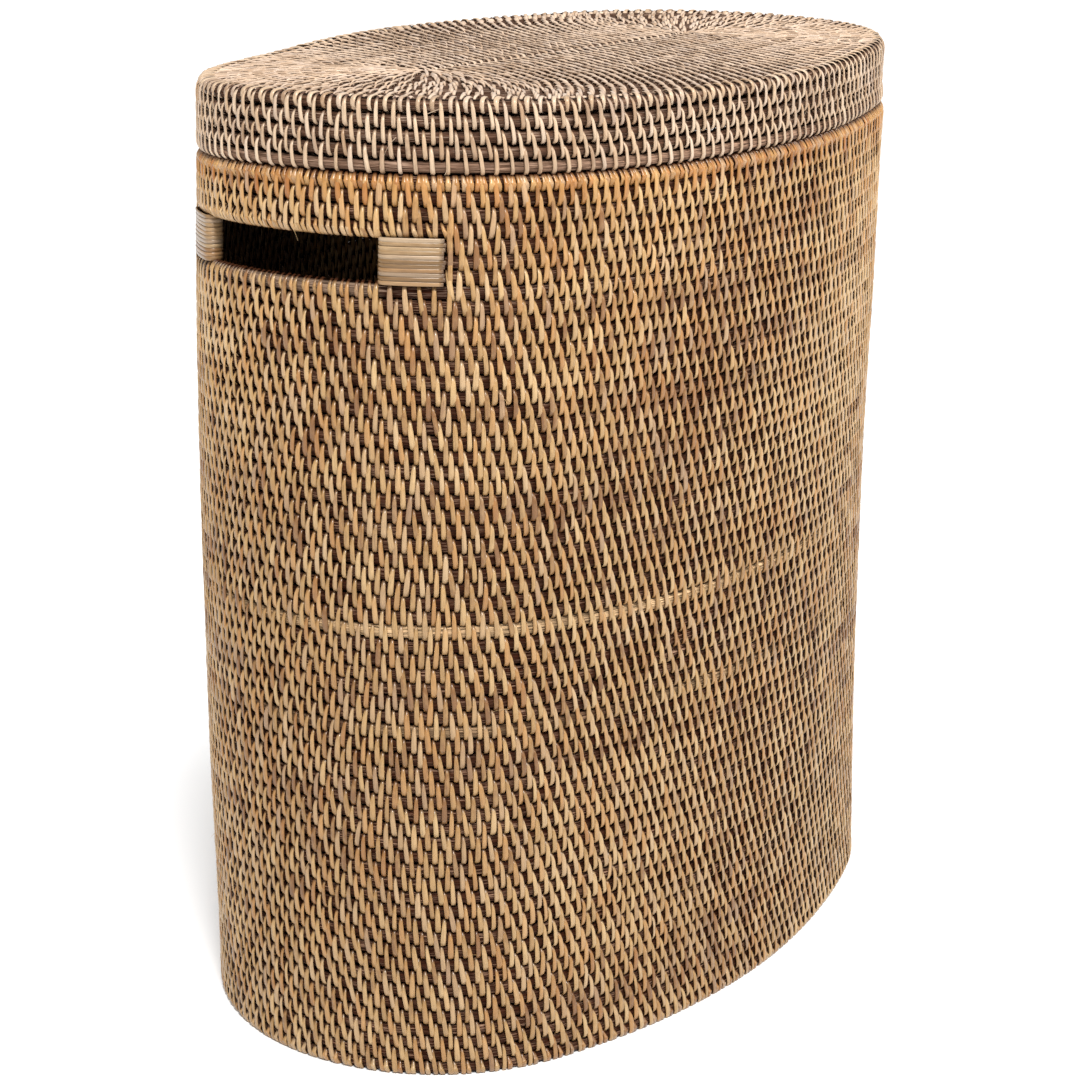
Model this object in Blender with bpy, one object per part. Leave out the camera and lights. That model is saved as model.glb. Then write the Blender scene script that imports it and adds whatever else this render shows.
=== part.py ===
"""Oval laundry hamper coiled from rattan cane, with two hand holes and a lift-off lid.

Metres, +Z up. The origin is on the ground under the middle of the hamper. +X and -X are the rounded ends,
which hold the hand holes, and +Y and -Y are the long flanks. The hamper is built as it is sewn: bands of cane
courses stacked on a foot course, an oval floor of coils inside them, and a lid of a coiled top and five courses.
"""
import math

import bmesh
import bpy

# Driving dimensions
HEIGHT = 0.600
TOP_LENGTH, TOP_WIDTH = 0.547, 0.324
FOOT_LENGTH, FOOT_WIDTH = 0.546, 0.334
END_ROUNDNESS = 0.87  # radius of the rounded ends over half the width
WALL = 0.009  # a cane with a splint on each side
GAP = 0.0003  # between pieces that touch

LID_HEIGHT = 0.042
LID_COURSES = 5
BODY_COURSES = 63
COURSES_ABOVE_HOLE = 4
COURSES_BESIDE_HOLE = 3
COURSES_PER_BAND = 5

HOLE_WIDTH = 0.134  # along the wall, between the bound edges
BINDING_WIDTH = 0.039  # along the wall
BINDING_PROUD = 0.0008  # how far a binding stands out of the wall on each face

FLOOR_COURSE = 1  # the floor lies inside this course, counted from the foot
FLOOR_THICK = 0.008
LID_TOP_THICK = 0.008
COIL_BANDS = 2  # separate rings of coils round the heart of the floor and of the lid's top
HEART_INSET = 0.80  # how far in from the wall the heart of a coiled panel begins, over the end radius

LOCATOR_DROP = 0.018  # how far the lid's inner ring hangs below the lid
LOCATOR_RISE = 0.0085
LOCATOR_THICK = 0.008
LOCATOR_TAPER = 0.004

QUARTER_STEPS = 11  # straight pieces in each quarter of an oval
STRETCH_STEPS = 18  # straight pieces in the wall between two hand holes
BINDING_STEPS = 3
SHARP_ANGLE = math.radians(35)

# Derived heights
LID_PITCH = LID_HEIGHT / LID_COURSES
RIM_Z = HEIGHT - LID_HEIGHT
PITCH = RIM_Z / BODY_COURSES
HOLE_TOP = RIM_Z - COURSES_ABOVE_HOLE * PITCH
HOLE_BOTTOM = HOLE_TOP - COURSES_BESIDE_HOLE * PITCH


def clear_scene():
    for thing in list(bpy.data.objects):
        bpy.data.objects.remove(thing, do_unlink=True)


def cane_material(name, colour, roughness):
    material = bpy.data.materials.new(name)
    material.use_nodes = True
    shader = material.node_tree.nodes["Principled BSDF"]
    shader.inputs["Base Color"].default_value = (*colour, 1.0)
    shader.inputs["Roughness"].default_value = roughness
    shader.inputs["Metallic"].default_value = 0.0
    return material


def half_sizes(z):
    """Half the length and half the width of the hamper's outer wall at height z."""
    rise = min(max(z / RIM_Z, 0.0), 1.0)
    length = FOOT_LENGTH + (TOP_LENGTH - FOOT_LENGTH) * rise
    width = FOOT_WIDTH + (TOP_WIDTH - FOOT_WIDTH) * rise
    return length / 2, width / 2


class Oval:
    """A four-arc oval: a small arc round each end and a wide arc along each flank, joined at a tangent."""

    def __init__(self, z, inset=0.0):
        half_length, half_width = half_sizes(z)
        self.end_radius = END_ROUNDNESS * half_width
        self.end_centre = half_length - self.end_radius
        self.flank_radius = (self.end_centre**2 + half_width**2 - self.end_radius**2) / (
            2 * (half_width - self.end_radius)
        )
        self.flank_centre = self.flank_radius - half_width
        self.joint = math.atan2(self.flank_centre, self.end_centre)
        self.end_arc = self.end_radius * self.joint
        self.quarter = self.end_arc + self.flank_radius * (math.pi / 2 - self.joint)
        self.inset = inset

    def point(self, along):
        """The point a distance along the full-size oval from its +X end, moved in by the inset."""
        quarter, rest = divmod(along, self.quarter)
        quarter = int(quarter) % 4
        if quarter % 2:
            rest = self.quarter - rest
        if rest <= self.end_arc:
            angle = rest / self.end_radius
            x = self.end_centre + (self.end_radius - self.inset) * math.cos(angle)
            y = (self.end_radius - self.inset) * math.sin(angle)
        else:
            angle = self.joint + (rest - self.end_arc) / self.flank_radius
            x = (self.flank_radius - self.inset) * math.cos(angle)
            y = (self.flank_radius - self.inset) * math.sin(angle) - self.flank_centre
        return x * (-1 if quarter in (1, 2) else 1), y * (-1 if quarter in (2, 3) else 1)

    def loop(self):
        steps = 4 * QUARTER_STEPS
        return [self.point(4 * self.quarter * i / steps) for i in range(steps)]


def finish(name, mesh_data, material):
    bmesh.ops.recalc_face_normals(mesh_data, faces=mesh_data.faces)
    mesh = bpy.data.meshes.new(name)
    mesh_data.to_mesh(mesh)
    mesh_data.free()
    mesh.materials.append(material)
    mesh.shade_smooth()
    mesh.set_sharp_from_angle(angle=SHARP_ANGLE)
    piece = bpy.data.objects.new(name, mesh)
    bpy.context.collection.objects.link(piece)
    return piece


def sweep(sections, closed):
    """A solid through matching rings of points, either closed on itself or capped at both ends."""
    mesh_data = bmesh.new()
    rings = [[mesh_data.verts.new(point) for point in section] for section in sections]
    pairs = list(zip(rings, rings[1:]))
    if closed:
        pairs.append((rings[-1], rings[0]))
    for here, there in pairs:
        for i, corner in enumerate(here):
            j = (i + 1) % len(here)
            mesh_data.faces.new((corner, here[j], there[j], there[i]))
    if not closed:
        mesh_data.faces.new(rings[0])
        mesh_data.faces.new(rings[-1])
    return mesh_data


def wall_section(low, high, along, proud=0.0):
    """The four corners of the wall's cross-section at a distance round the hamper."""
    corners = []
    for z, inset in ((low, -proud), (high, -proud), (high, WALL + proud), (low, WALL + proud)):
        oval = Oval(z, inset)
        corners.append((*oval.point(along * oval.quarter), z))
    return corners


def wall_band(name, low, high, material):
    """A whole turn of the wall between two heights."""
    steps = 4 * QUARTER_STEPS
    sections = [wall_section(low, high, i / QUARTER_STEPS) for i in range(steps)]
    return finish(name, sweep(sections, closed=True), material)


def wall_stretch(name, low, high, start, end, steps, material, proud=0.0):
    """Part of a turn of the wall, from one distance to another, both in quarters of the oval."""
    sections = [wall_section(low, high, start + (end - start) * i / steps, proud) for i in range(steps + 1)]
    return finish(name, sweep(sections, closed=False), material)


def ring(name, profile, material):
    """A whole turn of an outline given as pairs of inset and height."""
    loops = [[(x, y, z) for x, y in Oval(z, inset).loop()] for inset, z in profile]
    sections = [[loop[i] for loop in loops] for i in range(len(loops[0]))]
    return finish(name, sweep(sections, closed=True), material)


def coil_heart(name, low, high, outer_inset, material):
    """The solid middle of a coiled panel."""
    outline = Oval(high, outer_inset).loop()
    sections = [[(x, y, z) for x, y in outline] for z in (low, high)]
    return finish(name, sweep(sections, closed=False), material)


def coiled_panel(prefix, low, high, inset, materials):
    """A heart with rings of coils round it, out to an inset from the hamper's outer wall."""
    heart_inset = Oval(high).end_radius * HEART_INSET
    step = (heart_inset - inset) / COIL_BANDS
    for i in range(COIL_BANDS):
        outer = inset + i * step
        inner = inset + (i + 1) * step - GAP
        profile = ((outer, low), (outer, high), (inner, high), (inner, low))
        number = COIL_BANDS - i
        ring(f"{prefix}_coils_{number}", profile, materials[number % 2])
    coil_heart(f"{prefix}_heart", low, high, heart_inset, materials[0])


def build_wall(cane, cane_dark, rim_cane):
    wall_band("foot_course", 0.0, PITCH - GAP, cane_dark)
    whole_courses = BODY_COURSES - 1 - COURSES_ABOVE_HOLE - COURSES_BESIDE_HOLE
    for i in range(whole_courses // COURSES_PER_BAND):
        low = (1 + i * COURSES_PER_BAND) * PITCH
        high = low + COURSES_PER_BAND * PITCH - GAP
        wall_band(f"wall_band_{i + 1:02d}", low, high, (cane, cane_dark)[i % 2])
    wall_band("upper_courses", HOLE_TOP, RIM_Z - PITCH - GAP, cane)
    wall_band("rim_course", RIM_Z - PITCH, RIM_Z - GAP, rim_cane)


def build_hole_level(cane, peel):
    """The courses that the hand holes interrupt, and the peel bindings that end them."""
    low, high = HOLE_BOTTOM, HOLE_TOP - GAP
    quarter = Oval(HOLE_TOP).quarter
    hole = HOLE_WIDTH / 2 / quarter
    bound = BINDING_WIDTH / quarter
    gap = GAP / quarter
    for name, start in (("back", 0.0), ("front", 2.0)):
        wall_stretch(
            f"{name}_beside_holes",
            low,
            high,
            start + hole + bound + gap,
            start + 2.0 - hole - bound - gap,
            STRETCH_STEPS,
            cane,
        )
    for end, centre in (("right", 4.0), ("left", 2.0)):
        for side, sign in (("back", 1 if end == "right" else -1), ("front", -1 if end == "right" else 1)):
            inner = centre + sign * hole
            outer = centre + sign * (hole + bound)
            wall_stretch(
                f"{end}_{side}_binding",
                low + GAP,
                high - GAP,
                min(inner, outer),
                max(inner, outer),
                BINDING_STEPS,
                peel,
                BINDING_PROUD,
            )


def build_floor(cane, cane_dark):
    low = FLOOR_COURSE * PITCH + (PITCH - FLOOR_THICK) / 2
    coiled_panel("floor", low, low + FLOOR_THICK, WALL + GAP, (cane, cane_dark))


def build_lid(lid_cane, lid_dark):
    """A coiled top inside its own edge course, four courses below that, and a ring that keeps it in place."""
    coiled_panel("lid_top", HEIGHT - LID_TOP_THICK, HEIGHT, WALL + GAP, (lid_cane, lid_dark))
    for i in range(LID_COURSES):
        low = RIM_Z + i * LID_PITCH
        high = HEIGHT if i == LID_COURSES - 1 else low + LID_PITCH - GAP
        name = "lid_edge_course" if i == LID_COURSES - 1 else f"lid_course_{i + 1}"
        wall_band(name, low, high, (lid_dark, lid_cane)[i % 2])
    top, bottom = RIM_Z + LOCATOR_RISE, RIM_Z - LOCATOR_DROP
    inset = WALL + GAP
    ring(
        "lid_locating_ring",
        (
            (inset, top),
            (inset + LOCATOR_THICK, top),
            (inset + LOCATOR_THICK + LOCATOR_TAPER, bottom),
            (inset + LOCATOR_TAPER, bottom),
        ),
        lid_dark,
    )


def main():
    clear_scene()
    cane = cane_material("cane", (0.30, 0.19, 0.09), 0.50)
    cane_dark = cane_material("cane_dark", (0.24, 0.15, 0.07), 0.52)
    rim_cane = cane_material("rim_cane", (0.38, 0.24, 0.11), 0.45)
    peel = cane_material("peel", (0.45, 0.33, 0.19), 0.40)
    lid_cane = cane_material("lid_cane", (0.30, 0.22, 0.14), 0.52)
    lid_dark = cane_material("lid_cane_dark", (0.25, 0.18, 0.11), 0.54)
    build_wall(cane, cane_dark, rim_cane)
    build_hole_level(cane, peel)
    build_floor(cane, cane_dark)
    build_lid(lid_cane, lid_dark)


main()
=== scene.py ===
"""Oval laundry hamper of coiled rattan: every course of cane and every splint, modelled round the CAD frame.

Metres, +Z up, in the CAD's frame. Along the wall, u runs from 0 at the +X end through 1 at the back (+Y), 2
at the -X end and 3 at the front (-Y) to 4. Courses are counted from the rim down, and from the outside in.
"""
import math

import bpy
import numpy as np
from mathutils import Matrix, Vector


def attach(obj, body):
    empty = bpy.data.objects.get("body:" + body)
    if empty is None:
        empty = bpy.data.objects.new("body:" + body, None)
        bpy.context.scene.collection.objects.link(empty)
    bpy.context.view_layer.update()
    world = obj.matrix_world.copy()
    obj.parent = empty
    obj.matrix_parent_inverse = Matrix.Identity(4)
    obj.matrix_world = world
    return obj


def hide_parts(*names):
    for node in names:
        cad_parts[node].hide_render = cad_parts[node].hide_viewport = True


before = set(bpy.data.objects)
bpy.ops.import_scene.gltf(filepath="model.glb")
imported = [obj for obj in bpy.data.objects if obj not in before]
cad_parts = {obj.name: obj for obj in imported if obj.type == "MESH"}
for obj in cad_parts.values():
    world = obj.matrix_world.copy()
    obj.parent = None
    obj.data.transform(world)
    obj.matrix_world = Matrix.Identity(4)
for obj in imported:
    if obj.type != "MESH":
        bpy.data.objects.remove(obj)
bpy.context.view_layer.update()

# Sizes shared with the CAD
HEIGHT = 0.600
TOP_LENGTH, TOP_WIDTH = 0.547, 0.324
FOOT_LENGTH, FOOT_WIDTH = 0.546, 0.334
END_ROUNDNESS = 0.87
WALL = 0.009
LID_HEIGHT = 0.042
LID_COURSES = 5
BODY_COURSES = 63
HOLE_WIDTH = 0.134
BINDING_WIDTH = 0.039
LOCATOR_DROP, LOCATOR_RISE, LOCATOR_TAPER = 0.018, 0.0085, 0.004
LID_PITCH = LID_HEIGHT / LID_COURSES
RIM_Z = HEIGHT - LID_HEIGHT
PITCH = RIM_Z / BODY_COURSES
HOLE_ROWS = (4, 5, 6)
BAND_ROWS = 5
OVER_HOLE_ROW = HOLE_ROWS[0] - 1
FIRST_BAND_ROW = HOLE_ROWS[-1] + 1  # also the course under the hand holes
LIGHT_ROW, FAINT_ROW = 30, 37  # courses left paler by the maker
MM = 0.001

# The hand-made shape: the body's middle leans, its courses climb towards one end there, the front flank sags
LEAN = (-0.0094, -0.0014)
CLIMB = 4.8 * MM
CLIMB_AT = 2.2
SAG = 6.8 * MM
SAG_AT, SAG_REACH = 2.95, 0.5
DIP = 5.8 * MM  # a shorter one behind the -X end
DIP_AT, DIP_REACH = 1.54, 0.35
RAISED = 2.5 * MM
SETTLED_HEIGHT = 10 * PITCH  # below this the courses come back level with the ground
FOOT_LIFT = 0.4  # share of a rise that is left at the ground
FOOT_FLARE, FLANK_FLARE = 1.7 * MM, 3.0 * MM
FLANK_FLARE_AT, FLANK_FLARE_REACH = 2.86, 0.32
FLARE_HEIGHT = 0.14
LID_PINCH = 2.6 * MM
LID_PINCH_AT = 3.7

# Cane and splints
CANE_OUT = 3.15 * MM  # half thickness of a cane across the wall
CANE_UP = 4.52 * MM  # half its height along the wall
CANE_STEPS = 336  # straight pieces in one turn
CANE_SWELL = ((9, 0.025), (23, 0.02))  # waves per quarter radian of u, and share of the thickness
CANE_TAPER = (0.02, 0.8)  # thickness of a cut end and of the step next to it
CANE_GIRTH = 3.6  # fibre coordinate per radian round a cane, in mm
TUBE_SIDES = 8
SPLINT_THICK = 0.90 * MM
SPLINT_WIDTH = 3.25 * MM
WIDTH_RANGE, THICK_RANGE = (0.86, 1.14), (0.85, 1.1)
LEAN_SPREAD, TWIST_SPREAD = 3.0, 7  # degrees
PLACE_SPREAD = 0.3 * MM
LOOP_STEP = 4.4  # fibre coordinate between two rows of LOOP, in mm
FIBRE_SPREAD = 900  # how far apart two strands' fibre coordinates may lie
STITCHES = 176  # in one turn of the body
LID_STITCHES = 158
SHIFT = 0.40  # how far each course's stitches step along, in stitch spacings
FIRST_PHASE = 0.3
BODY_LEAN, BODY_LEAN_WANDER = 3.5, 2.4  # degrees
LID_SHIFT, LID_PHASE = 0.48, 0.1
LID_LEAN, LID_LEAN_WANDER = 8.0, 3.5
LID_STITCH_WIDTH = 0.8
LID_CANE_GAP = 0.48 * MM
SPACING_WANDER = 0.012

# The lid's top and the floor
PANEL_RINGS = 18
PANEL_FIRST, PANEL_SPAN = 0.28, 17.72  # where the outermost ring lies and where the middle is, in rings
PANEL_EYE = 0.140  # the two points round which they are coiled
PANEL_CANE = (3.1 * MM, 3.25 * MM)
PANEL_DEPTH = 4.0 * MM  # from the lid's upper face to the middle of its cane
PANEL_STITCH = 8.1 * MM
PANEL_SHIFT = 0.5
PANEL_STEP = 4.5 * MM
FLANK_STITCHES = 38  # along one flank
INNER_ROUNDNESS = 0.97  # of the innermost ring
GOLDEN = 0.618034
SPOKE_FREEDOM = 0.45  # how far the spokes keep their own places as new ones are let in

# Small wanderings of the courses
WALL_WANDER, COURSE_WANDER = 0.5 * MM, 0.35 * MM
LID_WANDER, LID_COURSE_WANDER = 0.3 * MM, 0.25 * MM
PANEL_WANDER = 0.25 * MM
CALM_TOP, CALM_FOOT = 4, 3  # courses over which the body's wandering dies away
CALM_LID = 2

# The locating ring
LOCATOR_COURSES = 3
LOCATOR_INSET = 4.6 * MM  # its cane's middle in from the wall's inner face
LOCATOR_CANE, LOCATOR_LOOP = (3.2 * MM, 4.5 * MM), (3.2 * MM, 3.9 * MM)

# Stray fibres
FRAY_LENGTH = (5, 16)  # mm
FRAY_ROOT, FRAY_LIFT = 4.4, (0.8, 3.5)  # mm off the course's middle, at the root and more at the tip
FRAY_CURL = 0.35
FRAY_THICK = 0.17 * MM

# The peel bindings at the hand holes
BINDING_STRIPS = 11
BINDING_BELOW, BINDING_ABOVE = 0.4 * MM, 0.5 * MM  # past the cut courses
BINDING_PROUD = 0.3 * MM
PEEL_THICK = 0.85 * MM
PEEL_SWELL = 0.25 * MM
PEEL_SHORT, PEEL_TUCK = 0.5 * MM, 0.3 * MM  # where its ends lie, short of and past the binding's width
PEEL_RAGGED = 1.6 * MM  # how unevenly the strips end
BESIDE_BINDING, CLEAR_OF_BINDING = 2.0 * MM, 5.0 * MM
CANE_INTO_BINDING = 6 * MM

# One splint loop, from the groove above its upper cane round the outside and back inside:
# which cane (-1 upper, 1 lower), angle round it, width share, how far it rides over its neighbour, and how dark it
# is made: stain where it tucks into the grooves, painted shade on its inside
LOOP = np.array(
    (
        (-1.0, 90, 0.60, -1.20, 1.00),
        (-1.0, 50, 0.68, -1.00, 0.60),
        (-1.0, 24, 0.76, -0.20, 0.15),
        (-0.85, 8, 0.86, 0.65, 0.00),
        (-0.35, 3, 0.95, 1.15, 0.00),
        (0.35, -3, 1.00, 1.20, 0.00),
        (1.0, -12, 1.04, 1.05, 0.00),
        (1.0, -40, 1.04, 0.90, 0.00),
        (1.0, -66, 1.00, 0.70, 0.30),
        (1.0, -90, 0.92, 0.20, 1.00),
        (1.0, -138, 0.90, 0.00, 0.70),
        (1.0, -175, 1.00, 0.00, 0.42),
        (0.0, 180, 1.00, 0.00, 0.40),
        (-1.0, 175, 1.00, 0.00, 0.42),
        (-1.0, 138, 0.80, 0.00, 0.70),
    )
)
# The same for a splint that turns over the lid's edge, where none of it is tucked out of sight
EDGE_LOOP = LOOP.copy()
EDGE_LOOP[2:11, 4] = 0.0
EDGE_LOOP[:10, 2] = 1.0
EDGE_LOOP[:3, 3] = -0.3
# The splint's crowned cross-section, in widths and thicknesses
CROWN = np.array(((-0.5, -0.45), (-0.40, 0.22), (0.0, 0.45), (0.40, 0.22), (0.5, -0.45)))

RIPPLE_SPREAD = 1.4  # keeps nearly all of a sum of waves between -1 and 1

# The bake layout
TUBE_SHARE = 0.26  # of the layout's height, where a piece has both canes and splints
STRIP_ASPECT = 9
CELL_MARGIN = 0.04

HOLE_REACH = HOLE_WIDTH / 2
BOUND_REACH = HOLE_REACH + BINDING_WIDTH

# The camera
CAMERA_TARGET = (-0.0147, 0.0047, 0.2725)
CAMERA_AZIMUTH, CAMERA_ELEVATION, CAMERA_ROLL = -53.22, 17.74, 0.59
CAMERA_DISTANCE = 1.672
CAMERA_LENS = 82.13

# The light
SUN_AZIMUTH, SUN_ELEVATION = -45, 60
SUN_STRENGTH, SUN_ANGLE = 3.3, 14
WORLD_STRENGTH = 0.45


class Ripple:
    """A smooth random field over the wall, periodic round the hamper, mostly between -1 and 1."""

    def __init__(self, seed, turns, climb, waves=9):
        rng = np.random.default_rng(seed)
        self.turns = rng.integers(-turns, turns + 1, waves)
        self.climbs = rng.uniform(-climb, climb, waves)
        self.phases = rng.uniform(0, 2 * math.pi, waves)
        self.scale = math.sqrt(2.0 / waves) / RIPPLE_SPREAD

    def __call__(self, u, z):
        total = 0.0
        for turn, climb, phase in zip(self.turns, self.climbs, self.phases):
            total = total + np.sin(0.5 * math.pi * turn * u + climb * z + phase)
        return total * self.scale


wall_ripple = Ripple(seed=11, turns=9, climb=40)
row_ripple = Ripple(seed=12, turns=14, climb=80)
lean_ripple = Ripple(seed=13, turns=5, climb=18)
pitch_ripple = Ripple(seed=14, turns=6, climb=16)
tone_ripple = Ripple(seed=15, turns=7, climb=30)
course_tone = Ripple(seed=16, turns=4, climb=300)


def oval_arcs(half_length, half_width, roundness):
    """A four-arc oval's end radius and centre, flank radius and centre, joint angle, end arc and quarter."""
    radius = roundness * half_width
    centre = half_length - radius
    flank_radius = (centre**2 + half_width**2 - radius**2) / (2 * (half_width - radius))
    flank = flank_radius - half_width
    joint = np.arctan2(flank, centre)
    end_arc = radius * joint
    quarter = end_arc + flank_radius * (math.pi / 2 - joint)
    return radius, centre, flank_radius, flank, joint, end_arc, quarter


def four_arc(half_length, half_width, roundness, u, out=0.0):
    """Points and outward normals of a four-arc oval."""
    radius, centre, flank_radius, flank, joint, end_arc, quarter = oval_arcs(half_length, half_width, roundness)
    part = np.floor(u).astype(int) % 4
    share = u - np.floor(u)
    rest = np.where(part % 2 == 1, 1 - share, share) * quarter
    on_end = rest <= end_arc
    angle = np.where(on_end, rest / radius, joint + (rest - end_arc) / flank_radius)
    reach = np.where(on_end, radius, flank_radius) + out
    side_x = np.where((part == 1) | (part == 2), -1.0, 1.0)
    side_y = np.where(part >= 2, -1.0, 1.0)
    x = (np.where(on_end, centre, 0.0) + reach * np.cos(angle)) * side_x
    y = (np.where(on_end, 0.0, -flank) + reach * np.sin(angle)) * side_y
    return x, y, np.cos(angle) * side_x, np.sin(angle) * side_y


def hollow(u, depth, middle, reach):
    """A smooth bump round one place of the wall."""
    return depth / (1 + (((u - middle + 2) % 4 - 2) / reach) ** 4)


def settle(u):
    """How far the hand-made courses stand above or below true level."""
    return RAISED - hollow(u, SAG, SAG_AT, SAG_REACH) - hollow(u, DIP, DIP_AT, DIP_REACH)


def turn_share(half_length, half_width, roundness):
    """The share of a quarter of the oval that its rounded end takes up, and the quarter's length."""
    end_arc, quarter = oval_arcs(half_length, half_width, roundness)[-2:]
    return end_arc / quarter, quarter


PANEL_TURN, QUARTER = turn_share(TOP_LENGTH / 2, TOP_WIDTH / 2, END_ROUNDNESS)


def wall_point(u, z, out):
    """Points and outward normals on the wall, a distance out from the CAD's outer face."""
    rise = np.clip(z / RIM_Z, 0.0, 1.0)
    half_length = (FOOT_LENGTH + (TOP_LENGTH - FOOT_LENGTH) * rise) / 2
    half_width = (FOOT_WIDTH + (TOP_WIDTH - FOOT_WIDTH) * rise) / 2
    flare = FOOT_FLARE + hollow(u, FLANK_FLARE, FLANK_FLARE_AT, FLANK_FLARE_REACH)
    out = out + flare * np.clip(1 - z / FLARE_HEIGHT, 0, 1) ** 2
    pinch = LID_PINCH * (1 + np.cos(0.5 * math.pi * (u - LID_PINCH_AT))) / 2
    out = out - pinch * np.clip((z - RIM_Z) / LID_PITCH, 0, 1)
    x, y, nx, ny = four_arc(half_length, half_width, END_ROUNDNESS, u, out)
    height = np.clip(z / HEIGHT, 0.0, 1.0)
    belly = 4 * height * (1 - height)
    share = np.clip(z / SETTLED_HEIGHT, 0.0, 1.0)
    shift = settle(u) * share + FOOT_LIFT * np.maximum(settle(u), 0.0) * (1 - share)
    z = z + shift + CLIMB * np.cos(0.5 * math.pi * (u - CLIMB_AT)) * belly**2
    points = np.stack([x + LEAN[0] * belly, y + LEAN[1] * belly, z + 0 * x], -1)
    return points, np.stack([nx, ny, 0 * nx], -1)


def body_course(row, u):
    z = RIM_Z - (row + 0.5) * PITCH + 0 * u
    calm = np.clip(row / CALM_TOP, 0, 1) * np.clip((BODY_COURSES - 1 - row) / CALM_FOOT, 0, 1)
    z = z + COURSE_WANDER * row_ripple(u, z) * calm
    out = -WALL / 2 + WALL_WANDER * wall_ripple(u, z) * calm
    return wall_point(u, z, out)


def lid_course(row, u):
    z = HEIGHT - (row + 0.5) * LID_PITCH + 0 * u
    calm = np.clip(row / CALM_LID, 0, 1) * np.clip((LID_COURSES - 1 - row) / CALM_LID, 0, 1)
    z = z + LID_COURSE_WANDER * row_ripple(u, 5 + z) * calm
    return wall_point(u, z, -WALL / 2 + LID_WANDER * wall_ripple(u, 3 + z))


def edge_course(row, u):
    """The lid top's outermost coil for row 0, and the course it turns down to for row 1."""
    inner, _ = Panel(HEIGHT - PANEL_DEPTH, 1.0)(0, u)
    outer, _ = lid_course(0, u)
    points = inner + (outer - inner) * row
    return points, np.broadcast_to((0.0, 0.0, 1.0), points.shape)


def locator_course(row, u):
    share = (row + 0.5) / LOCATOR_COURSES
    z = RIM_Z + LOCATOR_RISE - share * (LOCATOR_RISE + LOCATOR_DROP) + 0 * u
    return wall_point(u, z, -WALL - LOCATOR_INSET - LOCATOR_TAPER * share)


class Panel:
    """A flat coiled panel whose middle is at height z, its edge following the wall's rise and fall or level.

    Called with a ring and u, it gives points and normals, where equal u lie on one spoke across the rings.
    """

    def __init__(self, z, follow):
        rise = min(z / RIM_Z, 1.0)
        self.z = z
        self.follow = follow
        self.length = FOOT_LENGTH + (TOP_LENGTH - FOOT_LENGTH) * rise - 2 * WALL
        self.width = FOOT_WIDTH + (TOP_WIDTH - FOOT_WIDTH) * rise - 2 * WALL

    def share(self, ring):
        return 1 - (ring + PANEL_FIRST) / PANEL_SPAN

    def oval(self, ring):
        share = self.share(ring)
        half_length = PANEL_EYE + (self.length / 2 - PANEL_EYE) * share
        return half_length, self.width / 2 * share, END_ROUNDNESS + (INNER_ROUNDNESS - END_ROUNDNESS) * (1 - share)

    def __call__(self, ring, u):
        share = self.share(ring)
        half_length, half_width, roundness = self.oval(ring)
        turn, _ = turn_share(half_length, half_width, roundness)
        from_tip = np.abs((u + 1) % 2 - 1)
        from_tip = np.where(
            from_tip < PANEL_TURN,
            from_tip * turn / PANEL_TURN,
            turn + (from_tip - PANEL_TURN) * (1 - turn) / (1 - PANEL_TURN),
        )
        tip = 2 * np.round(u / 2)
        spoke = (tip + np.where(u < tip, -1, 1) * from_tip) % 4
        x, y, _, _ = four_arc(half_length + 0 * u, half_width + 0 * u, roundness, spoke)
        follow = self.follow * settle(u) * np.clip(share, 0, 1) ** 2
        up = self.z + PANEL_WANDER * wall_ripple(u, 30 * share + self.z) + follow
        points = np.stack([x, y, up + 0 * x], -1)
        return points, np.broadcast_to((0.0, 0.0, 1.0), points.shape)

    def places(self, ring):
        """Where a ring's stitches stand: spokes that fork round the ends, slanting lines along the flanks."""
        turn, quarter = turn_share(*self.oval(ring))
        spokes = max(2, round(2 * turn * quarter / PANEL_STITCH))
        count = np.arange(spokes)
        spread = SPOKE_FREEDOM * np.sort((0.5 + GOLDEN * count) % 1) + (1 - SPOKE_FREEDOM) * (count + 0.5) / spokes
        along = (np.arange(FLANK_STITCHES) + PANEL_SHIFT * ring % 1) / FLANK_STITCHES
        half = [(2 * spread - 1) * PANEL_TURN, PANEL_TURN + along * 2 * (1 - PANEL_TURN)]
        return np.sort(np.concatenate(half + [2 + part for part in half]) % 4)


def unit(v):
    return v / np.maximum(np.linalg.norm(v, axis=-1, keepdims=True), 1e-12)


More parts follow.
